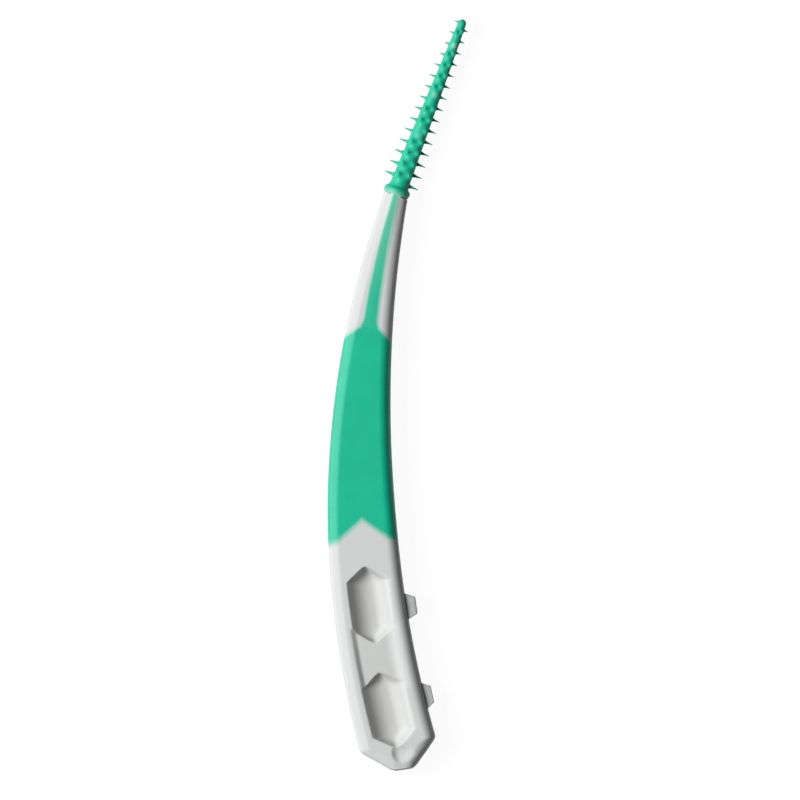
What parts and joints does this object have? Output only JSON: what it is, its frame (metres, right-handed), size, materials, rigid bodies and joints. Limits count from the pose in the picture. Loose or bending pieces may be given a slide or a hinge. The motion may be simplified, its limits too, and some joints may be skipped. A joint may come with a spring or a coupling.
{
  "type": "interdental pick",
  "caption": "Curved interdental pick: flat white handle with finger pockets, moulded green rubber grip, and a slim tapered rubber tip with short bristles for cleaning between teeth.",
  "frame": {"origin": "on the handle's flat back face, on its centreline, under the middle of the rubber grip, where the centreline heads along +X", "axes": "+X along the handle towards the bristled tip, +Z out of the front face, +Y to the outer side of the bend (left when seen from the front with the tip up)"},
  "size_m": [0.0752, 0.0141, 0.0034],
  "materials": {
    "white_plastic": "white polypropylene with a soft satin mould finish",
    "green_rubber": "smooth sea-green thermoplastic rubber"
  },
  "bodies": {
    "root": {"handle_core": "white_plastic", "rubber_overmould": "green_rubber"}
  },
  "joints": []
}
